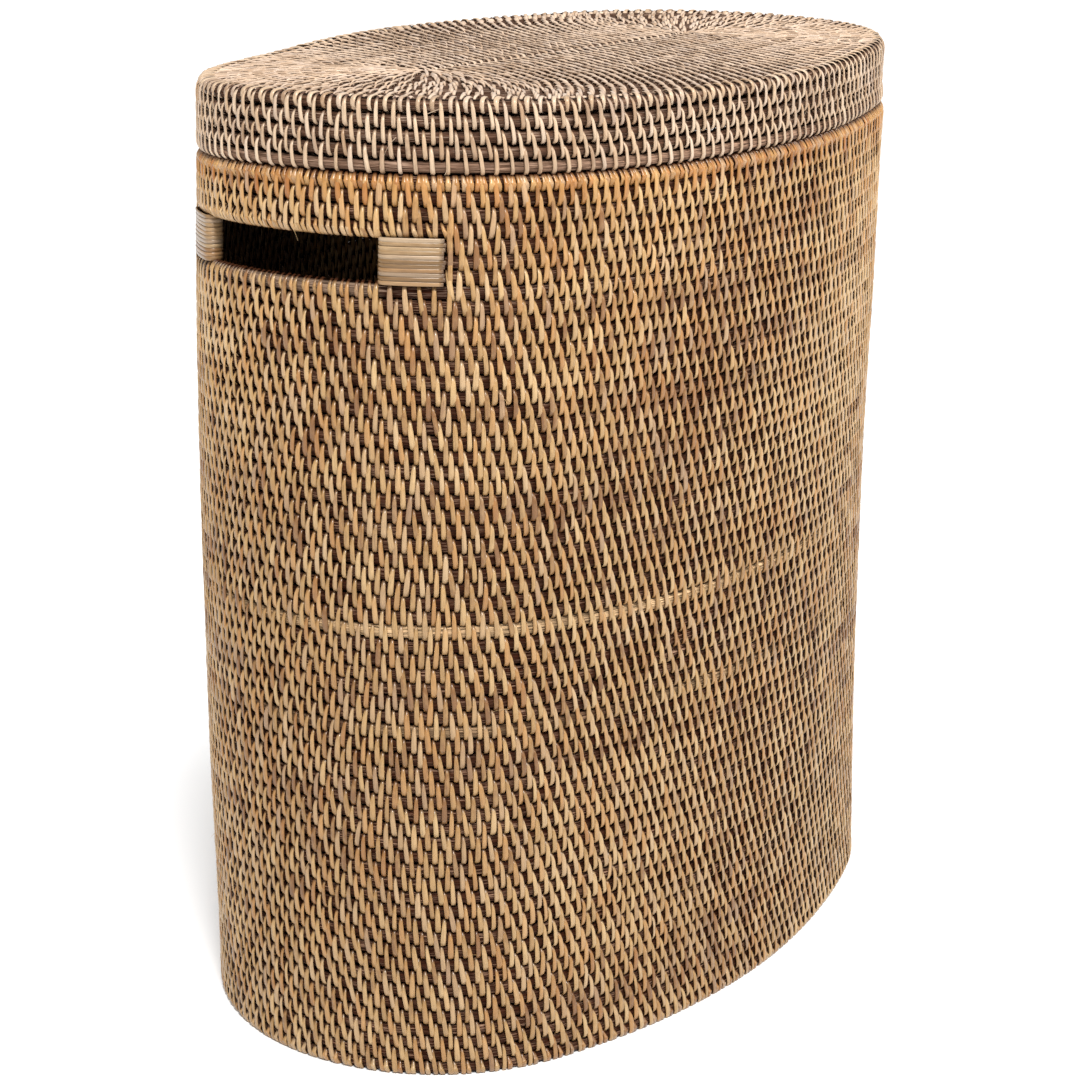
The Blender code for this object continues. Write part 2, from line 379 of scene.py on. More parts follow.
class Weave:
    """Gathers cane tubes and splint strips into one mesh, with fibre coordinates and a bake layout."""

    def __init__(self):
        self.parts = []
        self.strips = 0
        self.tubes = 0

    def add(self, points, closed_along, flip, fibre, strand, material, kind):
        """points is (count, along, around, 3): count separate skins, each closed around its section."""
        self.parts.append((points, closed_along, flip, fibre, strand, material, kind))
        if kind == "strip":
            self.strips += len(points)
        else:
            self.tubes += len(points)

    def cells(self, kind, first, count):
        """Lowest corners and sizes of the bake layout's cells for some skins, along the strip first."""
        tube_share = 0.0 if not self.tubes else (TUBE_SHARE if self.strips else 1.0)
        if kind == "tube":
            height = tube_share / self.tubes
            low = np.stack([np.zeros(count), height * (first + np.arange(count))], -1)
            return low, np.array((1.0, height)), False
        tall = 1 - tube_share
        rows = max(1, round(math.sqrt(self.strips * tall / STRIP_ASPECT)))
        columns = -(-self.strips // rows)
        index = first + np.arange(count)
        low = np.stack([(index % columns) / columns, tube_share + (index // columns) * tall / rows], -1)
        return low, np.array((1.0 / columns, tall / rows)), True

    def build(self, name, materials):
        points, faces, uvs, fibres, strands, slots = [], [], [], [], [], []
        base = 0
        used = {"strip": 0, "tube": 0}
        for skin, closed, flip, fibre, strand, material, kind in self.parts:
            count, along, around, _ = skin.shape
            steps = along if closed else along - 1
            i = np.arange(steps)[:, None]
            j = np.arange(around)[None, :]
            here, there = i * around, ((i + 1) % along) * around
            right = (j + 1) % around
            quad = np.stack([here + j, there + j, there + right, here + right], -1)
            corner = np.stack(
                [
                    np.stack([i + 0 * j, i + 1 + 0 * j, i + 1 + 0 * j, i + 0 * j], -1) / steps,
                    np.stack([j + 0 * i, j + 0 * i, j + 1 + 0 * i, j + 1 + 0 * i], -1) / around,
                ],
                -1,
            )
            if flip:
                quad, corner = quad[..., ::-1], corner[..., ::-1, :]
            quad = quad.reshape(-1, 4)
            corner = corner.reshape(-1, 4, 2)
            low, size, turned = self.cells(kind, used[kind], count)
            used[kind] += count
            if turned:
                corner = corner[..., ::-1]
            inner = CELL_MARGIN + (1 - 2 * CELL_MARGIN) * corner
            faces.append((base + np.arange(count)[:, None, None] * along * around + quad).reshape(-1, 4))
            uvs.append((low[:, None, None, :] + inner[None] * size).reshape(-1, 4, 2))
            slots.append(np.full(count * len(quad), material))
            points.append(skin.reshape(-1, 3))
            fibres.append(fibre.reshape(-1, 3))
            strands.append(strand.reshape(-1, 3))
            base += count * along * around
        return mesh_piece(
            name,
            np.concatenate(points),
            np.concatenate(faces),
            np.concatenate(uvs),
            {"fibre": np.concatenate(fibres), "strand": np.concatenate(strands)},
            np.concatenate(slots),
            materials,
        )


def mesh_piece(name, points, faces, uvs, attributes, slots, materials):
    mesh = bpy.data.meshes.new(name)
    mesh.vertices.add(len(points))
    mesh.vertices.foreach_set("co", points.astype(np.float32).ravel())
    mesh.loops.add(faces.size)
    mesh.loops.foreach_set("vertex_index", faces.astype(np.int32).ravel())
    mesh.polygons.add(len(faces))
    mesh.polygons.foreach_set("loop_start", np.arange(0, faces.size, 4, dtype=np.int32))
    mesh.polygons.foreach_set("material_index", slots.astype(np.int32))
    mesh.update(calc_edges=True)
    layer = mesh.uv_layers.new(name="OFBake")
    layer.uv.foreach_set("vector", uvs.astype(np.float32).ravel())
    for key, values in attributes.items():
        attribute = mesh.attributes.new(key, "FLOAT_VECTOR", "POINT")
        attribute.data.foreach_set("vector", values.astype(np.float32).ravel())
    for material in materials:
        mesh.materials.append(material)
    mesh.shade_smooth()
    piece = bpy.data.objects.new(name, mesh)
    bpy.context.scene.collection.objects.link(piece)
    return piece


def lay_cane(
    weave, course, row, seed, start=0.0, end=4.0, steps=CANE_STEPS, size=(CANE_OUT, CANE_UP), bare=None, slot=0
):
    """A cane along one course, a whole turn or a stretch of it."""
    rng = np.random.default_rng(seed)
    whole = end - start >= 4.0
    u = np.linspace(start, end, steps, endpoint=not whole)
    centre, normal = course(row, u % 4)
    below, _ = course(row + 0.5, u % 4)
    across = unit(below - centre)
    normal = unit(normal - (normal * across).sum(-1, keepdims=True) * across)
    thick = 1.0
    for waves, share in CANE_SWELL:
        thick = thick + share * np.sin(waves * u + rng.uniform(0, 6))
    if not whole:
        thick[[0, -1]] *= CANE_TAPER[0]
        thick[[1, -2]] *= CANE_TAPER[1]
    angle = -math.pi + 2 * math.pi * np.arange(TUBE_SIDES) / TUBE_SIDES
    ring_out = (size[0] * thick)[:, None] * np.cos(angle)
    ring_up = (size[1] * thick)[:, None] * np.sin(angle)
    skin = centre[:, None] + ring_out[..., None] * normal[:, None] - ring_up[..., None] * across[:, None]
    along = np.concatenate([[0.0], np.cumsum(np.linalg.norm(np.diff(centre, axis=0), axis=-1))])
    fibre = np.stack(
        np.broadcast_arrays(angle[None, :] * CANE_GIRTH, along[:, None] / MM, rng.uniform(0, FIBRE_SPREAD)), -1
    )
    shown = np.zeros(len(u)) if bare is None else bare(u)
    # The third channel runs from 0 on the cane's outer crown to 1 on its inner side; the cane material paints
    # shade from it where the cane lies in the grooves
    strand = np.stack(
        np.broadcast_arrays(shown[:, None], rng.uniform(0, 1), (1 - np.cos(angle))[None, :] / 2), -1
    )
    flip = float((np.cross(normal, across)[0] * (centre[1] - centre[0])).sum()) < 0
    parts = 4 if whole else 2
    cuts = np.linspace(0, len(u) if whole else len(u) - 1, parts + 1).round().astype(int)
    for low, high in zip(cuts, cuts[1:]):
        index = np.arange(low, high + 1) % len(u)
        stretch = fibre[index].copy()
        if high == len(u):
            stretch[-1, :, 1] = stretch[-2, :, 1] + (stretch[-2, :, 1] - stretch[-3, :, 1])
        weave.add(skin[index][None], False, flip, stretch[None], strand[index][None], slot, "tube")


def sew(
    weave,
    course,
    row,
    u,
    seed,
    span=1.0,
    lean=5.0,
    width=1.0,
    size=(CANE_OUT, CANE_UP),
    tone=None,
    ride=0.85,
    loop=LOOP,
):
    """Splints round two neighbouring courses, or round one where span is 0, at the given places.

    lean is in degrees, width in splint widths and ride in mm. ride lifts the part that crosses the next splint.
    """
    if not len(u):
        return
    rng = np.random.default_rng(seed)
    count = len(u)
    upper, normal = course(row, u % 4)
    lower, _ = course(row + max(span, 0.5), u % 4)
    across = lower - upper
    pitch = np.linalg.norm(across, axis=-1) * (1.0 if span else 0.0)
    across = unit(across)
    normal = unit(normal - (normal * across).sum(-1, keepdims=True) * across)
    side = np.cross(normal, across)
    middle = upper + (lower - upper) / 2 * (1.0 if span else 0.0)
    wide = SPLINT_WIDTH * width * rng.uniform(*WIDTH_RANGE, count)
    thick = SPLINT_THICK * rng.uniform(*THICK_RANGE, count)
    slope = np.tan(np.radians(lean + rng.normal(0, LEAN_SPREAD, count)))
    twist = np.radians(rng.normal(0, TWIST_SPREAD, count))
    jitter = rng.normal(0, PLACE_SPREAD, count)
    which, angle, share, layer, stain_and_shade = loop.T
    angle = np.radians(angle)
    half = thick[:, None] / 2
    down = which * pitch[:, None] / 2 - (size[1] + half) * np.sin(angle)
    out = (size[0] + half) * np.cos(angle) + ride * MM * layer
    aside = slope[:, None] * down + jitter[:, None]
    turn = twist[:, None] * np.cos(angle)
    x = CROWN[:, 0] * (wide[:, None] * share)[..., None]
    y = CROWN[:, 1] * thick[:, None, None]
    flat = x * np.cos(turn)[..., None] - y * np.sin(turn)[..., None]
    rise = x * np.sin(turn)[..., None] + y * np.cos(turn)[..., None]
    b = down[..., None] - rise * np.sin(angle)[None, :, None]
    n = out[..., None] + rise * np.cos(angle)[None, :, None]
    s = aside[..., None] + flat
    skin = (
        middle[:, None, None]
        + b[..., None] * across[:, None, None]
        + n[..., None] * normal[:, None, None]
        + s[..., None] * side[:, None, None]
    )
    ring = LOOP_STEP * np.arange(len(loop))
    number = rng.uniform(0, FIBRE_SPREAD, count)
    fibre = np.stack(np.broadcast_arrays(x / MM, ring[None, :, None], number[:, None, None]), -1)
    shade = rng.uniform(0, 1, count) if tone is None else tone
    # The strand's third channel darkens the splint: stain where it tucks into the grooves, painted shade on the
    # loop's inside
    strand = np.stack(
        np.broadcast_arrays(
            shade[:, None, None], rng.uniform(0, 1, count)[:, None, None], stain_and_shade[None, :, None] + 0 * x
        ),
        -1,
    )
    weave.add(skin, True, False, fibre, strand, 1, "strip")


def fray(weave, course, low, high, seed, count=6):
    """A few stray fibres standing off the wall between two courses."""
    rng = np.random.default_rng(seed)
    u = rng.uniform(0, 4, count)
    row = rng.uniform(low, high, count)
    start, normal = course(row, u)
    ahead, _ = course(row, (u + 0.01) % 4)
    along = unit(ahead - start)
    down = np.cross(normal, along)
    heading = rng.uniform(-math.pi, math.pi, count)[:, None]
    way = np.cos(heading) * along + np.sin(heading) * down
    aside = np.cross(normal, way)
    share = np.linspace(0, 1, 8)[None, :, None]
    length = rng.uniform(*FRAY_LENGTH, count)[:, None, None] * MM
    lift = (FRAY_ROOT + rng.uniform(*FRAY_LIFT, count)[:, None, None] * share) * MM
    curl = rng.uniform(-FRAY_CURL, FRAY_CURL, count)[:, None, None] * length * share**2
    line = start[:, None] + way[:, None] * length * share + normal[:, None] * lift + aside[:, None] * curl
    angle = np.linspace(0, 2 * math.pi, 4, endpoint=False)[None, None, :, None]
    thick = (FRAY_THICK * (1 - 0.7 * share))[..., None]
    around = np.cos(angle) * aside[:, None, None] + np.sin(angle) * normal[:, None, None]
    skin = line[:, :, None] + thick * around
    zero = 0 * skin[..., 0]
    fibre = np.stack([zero, (length * share)[..., 0][..., None] / MM + zero, zero + seed], -1)
    strand = np.stack([zero + 0.8, zero + 0.5, zero], -1)
    weave.add(skin, False, False, fibre, strand, 1, "strip")


def node(tree, kind, **inputs):
    made = tree.nodes.new(kind)
    for key, value in inputs.items():
        name = key.replace("_", " ")
        if isinstance(value, bpy.types.NodeSocket):
            tree.links.new(value, made.inputs[name])
        else:
            made.inputs[name].default_value = value
    return made


def maths(tree, operation, *values, clamp=False):
    made = tree.nodes.new("ShaderNodeMath")
    made.operation = operation
    made.use_clamp = clamp
    for socket, value in zip(made.inputs, values):
        if isinstance(value, bpy.types.NodeSocket):
            tree.links.new(value, socket)
        else:
            socket.default_value = value
    return made.outputs[0]


def mixed(tree, share, first, second, blend="MIX"):
    made = tree.nodes.new("ShaderNodeMix")
    made.data_type = "RGBA"
    made.blend_type = blend
    for socket, value in ((made.inputs[0], share), (made.inputs[6], first), (made.inputs[7], second)):
        if isinstance(value, bpy.types.NodeSocket):
            tree.links.new(value, socket)
        elif isinstance(value, tuple):
            socket.default_value = (*value, 1.0)
        else:
            socket.default_value = value
    return made.outputs[2]


def ramp(tree, value, stops):
    made = tree.nodes.new("ShaderNodeValToRGB")
    tree.links.new(value, made.inputs[0])
    elements = made.color_ramp.elements
    while len(elements) < len(stops):
        elements.new(0.5)
    for element, (position, colour) in zip(elements, stops):
        element.position = position
        element.color = (*colour, 1.0) if isinstance(colour, tuple) else (colour, colour, colour, 1.0)
    return made.outputs[0]


def attribute(tree, name):
    made = tree.nodes.new("ShaderNodeAttribute")
    made.attribute_type = "GEOMETRY"
    made.attribute_name = name
    return made.outputs["Vector"]


def scaled(tree, vector, scale):
    made = tree.nodes.new("ShaderNodeMapping")
    tree.links.new(vector, made.inputs["Vector"])
    made.inputs["Scale"].default_value = scale
    return made.outputs[0]


def noise(tree, vector, scale, detail=3.0, roughness=0.55):
    made = node(tree, "ShaderNodeTexNoise", Vector=vector, Scale=scale, Detail=detail, Roughness=roughness)
    return made.outputs["Fac"]


def fibre_noise(tree, across, along, detail, roughness=0.55):
    """Noise drawn out along the fibre, in cycles per mm across it and along it."""
    return noise(tree, scaled(tree, attribute(tree, "fibre"), (across, along, 1.0)), 1.0, detail, roughness)


def split(tree, vector):
    return node(tree, "ShaderNodeSeparateXYZ", Vector=vector).outputs


def new_material(name):
    material = bpy.data.materials.new(name)
    material.use_nodes = True
    tree = material.node_tree
    return material, tree, tree.nodes["Principled BSDF"]


def finish_shader(tree, shader, colour, rough, relief, strength, distance):
    bump = node(tree, "ShaderNodeBump", Strength=strength, Distance=distance, Height=relief)
    tree.links.new(colour, shader.inputs["Base Color"])
    tree.links.new(rough, shader.inputs["Roughness"])
    tree.links.new(bump.outputs["Normal"], shader.inputs["Normal"])


def splint_material(name, tones, warm, pale, stain_and_shade_colour, warm_share=0.5, roughness=(0.27, 0.50)):
    """Split rattan: every strip in its own tone, streaked along the fibre, stained dark where it tucks into the
    grooves and darkened on the loop's inside as painted shade.
    """
    material, tree, shader = new_material(name)
    tone, tint, stain_and_shade = split(tree, attribute(tree, "strand"))
    place = node(tree, "ShaderNodeTexCoord").outputs["Object"]
    patch = noise(tree, place, 9.0, 2.0)
    streak = fibre_noise(tree, 1.25, 0.07, 5.0, 0.65)
    fine = fibre_noise(tree, 6.0, 0.22, 2.0, 0.6)
    blotch = fibre_noise(tree, 0.5, 0.16, 2.0)
    shade = maths(tree, "MULTIPLY_ADD", patch, 0.9, -0.45)
    shade = maths(tree, "ADD", maths(tree, "MULTIPLY_ADD", blotch, 0.6, -0.3), shade)
    colour = ramp(tree, maths(tree, "ADD", tone, shade, clamp=True), tones)
    warmth = maths(tree, "MULTIPLY", ramp(tree, tint, ((0.62, 0.0), (0.9, 1.0))), warm_share)
    colour = mixed(tree, warmth, colour, warm)
    paleness = maths(tree, "MULTIPLY", ramp(tree, tint, ((0.08, 1.0), (0.3, 0.0))), 0.45)
    colour = mixed(tree, paleness, colour, pale)
    grain = ramp(tree, streak, ((0.3, 0.62), (0.5, 0.95), (0.72, 1.12)))
    colour = mixed(tree, 0.8, colour, grain, "MULTIPLY")
    colour = mixed(tree, 0.35, colour, ramp(tree, fine, ((0.35, 0.7), (0.65, 1.15))), "MULTIPLY")
    # Painted light and shade: the splints are lighter towards the top of the hamper and darker towards its foot
    painted_height_light = ramp(tree, split(tree, place)[2], ((0.0, 0.86), (0.36, 0.97), (0.54, 1.17)))
    colour = mixed(tree, 1.0, colour, painted_height_light, "MULTIPLY")
    # Stain where the splint tucks into the grooves, and painted shade on the loop's inside
    colour = mixed(tree, ramp(tree, stain_and_shade, ((0.05, 0.0), (0.7, 1.0))), colour, stain_and_shade_colour)
    worn = maths(tree, "ADD", streak, maths(tree, "MULTIPLY", fine, 0.3))
    rough = ramp(tree, worn, ((0.4, roughness[0]), (0.9, roughness[1])))
    shader.inputs["Specular Tint"].default_value = (1.0, 0.88, 0.74, 1.0)
    shader.inputs["Coat Weight"].default_value = 0.3
    shader.inputs["Coat Roughness"].default_value = 0.2
    relief = maths(tree, "MULTIPLY_ADD", fine, 0.4, streak)
    finish_shader(tree, shader, colour, rough, relief, 0.35, 0.25 * MM)
    return material


def cane_material(name, dark, brown, streaky, bare, roughness=(0.42, 0.65)):
    """Stained cane seen between the splints, painted nearly black as shade in the grooves, with paler fibres on
    its crown.
    """
    material, tree, shader = new_material(name)
    bareness, tint, around = split(tree, attribute(tree, "strand"))
    streak = fibre_noise(tree, 0.9, 0.09, 5.0, 0.62)
    lines = fibre_noise(tree, 1.9, 0.05, 4.0, 0.65)
    patch = fibre_noise(tree, 0.05, 0.045, 2.0)
    colour = mixed(tree, ramp(tree, streak, ((0.36, 0.0), (0.66, 1.0))), dark, brown)
    crown = ramp(tree, lines, ((0.50, 0.0), (0.64, 1.0)))
    pale = maths(tree, "MULTIPLY", crown, ramp(tree, patch, ((0.40, 0.1), (0.60, 0.9))))
    pale = maths(tree, "MULTIPLY", pale, maths(tree, "MULTIPLY_ADD", tint, 0.8, 0.35), clamp=True)
    colour = mixed(tree, pale, colour, streaky)
    grain = ramp(tree, lines, ((0.38, 0.12), (0.50, 0.80), (0.62, 1.6)))
    colour = mixed(tree, bareness, colour, mixed(tree, 1.0, bare, grain, "MULTIPLY"))
    # Painted shade: the cane goes nearly black on its top, bottom and inner side, where it lies in the grooves
    painted_groove_shade = ramp(tree, around, ((0.10, 0.0), (0.34, 1.0)))
    colour = mixed(tree, painted_groove_shade, colour, tuple(0.35 * c for c in dark))
    rough = ramp(tree, streak, ((0.35, roughness[0]), (0.75, roughness[1])))
    shader.inputs["Specular IOR Level"].default_value = 0.07
    shader.inputs["Specular Tint"].default_value = (1.0, 0.56, 0.42, 1.0)
    relief = maths(tree, "MULTIPLY_ADD", lines, 0.6, streak)
    finish_shader(tree, shader, colour, rough, relief, 0.5, 0.3 * MM)
    return material


BODY_DARK, BODY_BROWN = (0.010, 0.0025, 0.001), (0.048, 0.015, 0.007)
# Colour of the splints' tucked ends, as stain, and of their inner side, as painted shade
BODY_STAIN_AND_SHADE = (0.060, 0.018, 0.006)
body_cane = cane_material("body_cane", BODY_DARK, BODY_BROWN, (0.42, 0.25, 0.16), (0.60, 0.40, 0.22))
hole_cane = cane_material("hole_cane", BODY_DARK, BODY_BROWN, (0.42, 0.28, 0.20), (0.30, 0.20, 0.135))
lid_cane = cane_material(
    "lid_cane", (0.018, 0.007, 0.003), (0.13, 0.064, 0.038), (0.54, 0.38, 0.28), (0.36, 0.22, 0.145)
)
body_splint = splint_material(
    "body_splint",
    tones=(
        (0.02, (0.23, 0.105, 0.038)),
        (0.30, (0.39, 0.220, 0.084)),
        (0.65, (0.50, 0.305, 0.128)),
        (0.98, (0.59, 0.390, 0.190)),
    ),
    warm=(0.47, 0.215, 0.066),
    pale=(0.55, 0.38, 0.235),
    stain_and_shade_colour=BODY_STAIN_AND_SHADE,
)
rim_splint = splint_material(
    "rim_splint",
    tones=((0.05, (0.24, 0.093, 0.024)), (0.40, (0.39, 0.186, 0.052)), (0.95, (0.53, 0.305, 0.115))),
    warm=(0.41, 0.152, 0.036),
    pale=(0.54, 0.38, 0.25),
    stain_and_shade_colour=BODY_STAIN_AND_SHADE,
    warm_share=0.6,
)
lid_splint = splint_material(
    "lid_splint",
    tones=((0.05, (0.34, 0.215, 0.130)), (0.40, (0.50, 0.350, 0.225)), (0.95, (0.64, 0.480, 0.335))),
    warm=(0.50, 0.31, 0.165),
    pale=(0.60, 0.46, 0.36),
    stain_and_shade_colour=(0.100, 0.040, 0.020),
    warm_share=0.35,
)
# The lid top's splint: paler and greyer than the sides', and lighter still as painted light where the top faces up
pale_top_splint_painted_light = splint_material(
    "pale_top_splint_painted_light",
    tones=((0.05, (0.40, 0.265, 0.172)), (0.40, (0.59, 0.420, 0.292)), (0.95, (0.74, 0.555, 0.408))),
    warm=(0.60, 0.40, 0.25),
    pale=(0.68, 0.53, 0.43),
    stain_and_shade_colour=(0.16, 0.085, 0.05),
    warm_share=0.3,
)
peel = splint_material(
    "binding_peel",
    tones=((0.05, (0.19, 0.105, 0.042)), (0.40, (0.29, 0.175, 0.080)), (0.95, (0.42, 0.285, 0.155))),
    warm=(0.34, 0.165, 0.065),
    pale=(0.42, 0.32, 0.235),
    stain_and_shade_colour=(0.075, 0.032, 0.014),
    roughness=(0.26, 0.44),
)


def places(count, phase, row):
    """Even places round a course, with a slow change of spacing."""
    u = (np.arange(count) + phase) * 4 / count
    return u + SPACING_WANDER * pitch_ripple(u, RIM_Z - row * PITCH)


def from_end(u):
    """Distance along the wall from the nearer hand hole's middle, signed towards growing u."""
    turn = (u % 2 + 1) % 2 - 1
    return turn * QUARTER


def tones(rng, u, z):
    """A tone from 0, dark, to 1, light, for each splint: its own, its neighbourhood's and its course's."""
    own, patch, course = 0.2 * rng.normal(size=len(u)), 0.16 * tone_ripple(u, z), 0.2 * course_tone(u, z)
    return np.clip(0.5 + own + patch + course, 0, 1)


def light_course(row):
    """How bare and light a body course's cane is, along its length."""

    def shown(u):
        amount = 0 * u
        if row == LIGHT_ROW:
            amount = 0.85 + 0.25 * tone_ripple(3 * u, 0.2)
        if row == FAINT_ROW:
            amount = 0.18 + 0.2 * tone_ripple(2 * u, 0.5)
        if row == FIRST_BAND_ROW:
            amount = 0.62 * np.clip((HOLE_REACH + 4 * MM - np.abs(from_end(u))) / (8 * MM), 0, 1)
        return np.clip(amount, 0, 1)

    return shown


def finish_piece(piece, body, slot, *nodes):
    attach(piece, body)
    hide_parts(*nodes)
    return piece


def sew_body_row(weave, row, keep=None):
    """The splints of one body course, and the extra ones that wrap it alone at the rim and the hand holes."""
    rng = np.random.default_rng(5000 + row)
    z = RIM_Z - (row + 1) * PITCH

    def wrap(some, seed, span=0.0, **looks):
        sew(weave, body_course, row, some, seed, span=span, tone=tones(rng, some, z), **looks)

    u = places(STITCHES, FIRST_PHASE + SHIFT * row, row)
    near = np.abs(from_end(u))
    if row in (OVER_HOLE_ROW, *HOLE_ROWS):
        beside = (BOUND_REACH + BESIDE_BINDING) / QUARTER
        ends = np.array((beside, 2 - beside, 2 + beside, 4 - beside))
        u = np.concatenate([u[near > BOUND_REACH + CLEAR_OF_BINDING], ends])
    if keep is not None:
        u = u[keep(u)]
    lean = BODY_LEAN + BODY_LEAN_WANDER * lean_ripple(u, z)
    wrap(u, 100 + row, span=0.0 if row == BODY_COURSES - 1 else 1.0, lean=lean)
    if row == 0:
        wrap(places(2 * STITCHES, FIRST_PHASE - SHIFT, row), 90, lean=6.0, width=1.05, ride=0.6)
    if row == FIRST_BAND_ROW:
        extra = places(2 * STITCHES, 0.8 + 2 * SHIFT * row, row)
        wrap(extra[np.abs(from_end(extra)) < HOLE_REACH][::2], 92, lean=6.0, width=0.75, ride=0.3)
    if row == OVER_HOLE_ROW:
        extra = places(2 * STITCHES, FIRST_PHASE, row)
        near = np.abs(from_end(extra))
        inside = extra[near < HOLE_REACH]
        beside = extra[(near >= HOLE_REACH) & (near <= BOUND_REACH + 1.0 * MM)][::2]
        for some in (inside, beside):
            wrap(some, 91, lean=17.0, width=0.80)


def build_body():
    rim = Weave()
    lay_cane(rim, body_course, 0, 1)
    sew_body_row(rim, 0)
    finish_piece(rim.build("rim_course_woven", (body_cane, rim_splint)), "basket", "rim_cane", "rim_course")
    upper = Weave()
    for row in (1, 2, 3):
        lay_cane(upper, body_course, row, 1 + row)
        sew_body_row(upper, row)
    fray(upper, body_course, 1, 3, 620, 8)
    piece = upper.build("upper_courses_woven", (body_cane, body_splint))
    finish_piece(piece, "basket", "cane", "upper_courses")
    bands = (BODY_COURSES - 1 - FIRST_BAND_ROW) // BAND_ROWS
    for band in range(bands):
        weave = Weave()
        first = FIRST_BAND_ROW + band * BAND_ROWS
        for row in range(first, first + BAND_ROWS):
            material = 2 if row == FIRST_BAND_ROW else 0
            lay_cane(weave, body_course, row, 1 + row, bare=light_course(row), slot=material)
            sew_body_row(weave, row)
        fray(weave, body_course, first, first + BAND_ROWS, 600 + band)
        number = bands - band
        slot = "cane_dark" if number % 2 == 0 else "cane"
        piece = weave.build(f"wall_band_{number:02d}_woven", (body_cane, body_splint, hole_cane))
        finish_piece(piece, "basket", slot, f"wall_band_{number:02d}")
    foot = Weave()
    lay_cane(foot, body_course, BODY_COURSES - 1, 70)
    sew_body_row(foot, BODY_COURSES - 1)
    piece = foot.build("foot_course_woven", (body_cane, body_splint))
    finish_piece(piece, "basket", "cane_dark", "foot_course")
    inside = BOUND_REACH - CANE_INTO_BINDING
    for name, start in (("back", 0.0), ("front", 2.0)):
        weave = Weave()
        low, high = start + inside / QUARTER, start + 2 - inside / QUARTER
        for row in HOLE_ROWS:
            lay_cane(weave, body_course, row, 200 + row + int(start), start=low, end=high, steps=150)
            sew_body_row(weave, row, keep=lambda u: ((u % 4) > start) & ((u % 4) < start + 2))
        piece = weave.build(f"{name}_beside_holes_woven", (body_cane, body_splint))
        finish_piece(piece, "basket", "cane", f"{name}_beside_holes")


def build_binding(name, centre, sign, seed):
    """Flat peel wound level round the cut ends of three courses, from the hole's edge back into the wall."""
    rng = np.random.default_rng(seed)
    low_z = RIM_Z - FIRST_BAND_ROW * PITCH - BINDING_BELOW
    high_z = RIM_Z - HOLE_ROWS[0] * PITCH + BINDING_ABOVE
    tall = (high_z - low_z) / BINDING_STRIPS
    half_wall = WALL / 2 + BINDING_PROUD
    far = BINDING_WIDTH - PEEL_SHORT
    straight = np.linspace(0, 1, 9)
    bend = np.linspace(90, -90, 9)[1:-1]
    # One turn: distance along the wall from the hole's edge, distance out from the wall's middle, up axis
    out_run = [(far - t * (far - half_wall), half_wall, 90.0) for t in straight]
    turn = [
        (half_wall - half_wall * math.cos(math.radians(a)), half_wall * math.sin(math.radians(a)), a)
        for a in bend
    ]
    back_run = [(s, -half_wall, -90.0) for s, _, _ in reversed(out_run)]
    tuck_in = [(BINDING_WIDTH + PEEL_TUCK, side * half_wall * 0.45, 180.0) for side in (-1, 1)]
    path = np.array(out_run + turn + back_run + tuck_in)
    weave = Weave()
    skins, fibres, strands = [], [], []
    for i in range(BINDING_STRIPS):
        z = low_z + (i + 0.5) * tall + rng.normal(0, 0.08) * MM
        wide = tall * rng.uniform(1.0, 1.12)
        thick = PEEL_THICK * rng.uniform(0.85, 1.15)
        tilt = rng.normal(0, 0.006)
        short = np.clip(path[:, 0], 0, BINDING_WIDTH - rng.uniform(0, PEEL_RAGGED))
        reach = centre + sign * (HOLE_REACH + short) / QUARTER
        swell = PEEL_SWELL * np.sin(np.clip(short / BINDING_WIDTH, 0, 1) * math.pi)
        lift = np.sign(path[:, 1]) * (swell + thick / 2)
        axis = np.radians(path[:, 2])
        section = []
        for x, y in CROWN * (1.0, 0.7):
            level = z + x * wide + tilt * (short - BINDING_WIDTH / 2)
            out = -WALL / 2 + path[:, 1] + lift + y * thick * np.sin(axis)
            shift = -sign * y * thick * np.cos(axis) / QUARTER
            points, _ = wall_point((reach + shift) % 4, level, out)
            section.append(points)
        skins.append(np.stack(section, 1))
        along = np.concatenate([[0.0], np.cumsum(np.hypot(np.diff(path[:, 0]), np.diff(path[:, 1])))]) / MM
        across = CROWN[None, :, 0] * wide / MM
        fibres.append(np.stack(np.broadcast_arrays(across, along[:, None], rng.uniform(0, 900)), -1))
        # The peel's ends, where they go into the wall, are darkened as stain and painted shade
        stain_and_shade = np.where(path[:, 0] > BINDING_WIDTH - 1 * MM, 0.6, 0.0)[:, None] + 0 * across
        strands.append(np.stack(np.broadcast_arrays(rng.uniform(0, 1), rng.uniform(0, 1), stain_and_shade), -1))
    weave.add(np.array(skins), True, sign > 0, np.array(fibres), np.array(strands), 1, "strip")
    piece = weave.build(f"{name}_woven", (body_cane, peel))
    finish_piece(piece, "basket", "peel", name)


